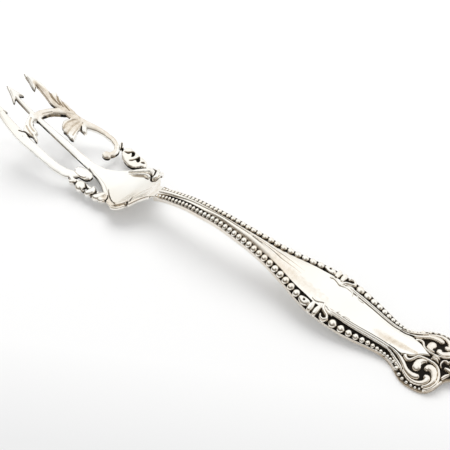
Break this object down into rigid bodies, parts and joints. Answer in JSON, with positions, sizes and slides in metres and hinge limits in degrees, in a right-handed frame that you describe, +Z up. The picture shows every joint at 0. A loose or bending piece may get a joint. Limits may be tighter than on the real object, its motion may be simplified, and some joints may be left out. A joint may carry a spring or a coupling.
{
  "type": "pickle fork",
  "caption": "Three-tined pierced pickle fork with barbed tines, a shallow bowl, a beaded handle with a plain panel and a scrolled terminal.",
  "frame": {"origin": "where the heel of the bowl rests on the table, on the fork's centre line", "axes": "+X along the fork from the tine tips to the handle's end, +Y to the side of the open scroll, +Z up from the table"},
  "size_m": [0.1455, 0.0226, 0.0179],
  "materials": {
    "bright_silver": "polished sterling silver",
    "relief_silver": "sterling silver in relief, tarnished dark in the recesses"
  },
  "bodies": {
    "root": {"bowl": "bright_silver", "centre_tine": "bright_silver", "left_tine": "bright_silver", "right_tine": "bright_silver", "left_bridge": "relief_silver", "right_bridge": "relief_silver", "left_root_shell": "relief_silver", "right_root_shell": "relief_silver", "shank": "relief_silver", "panel": "bright_silver", "terminal": "relief_silver"}
  },
  "joints": []
}
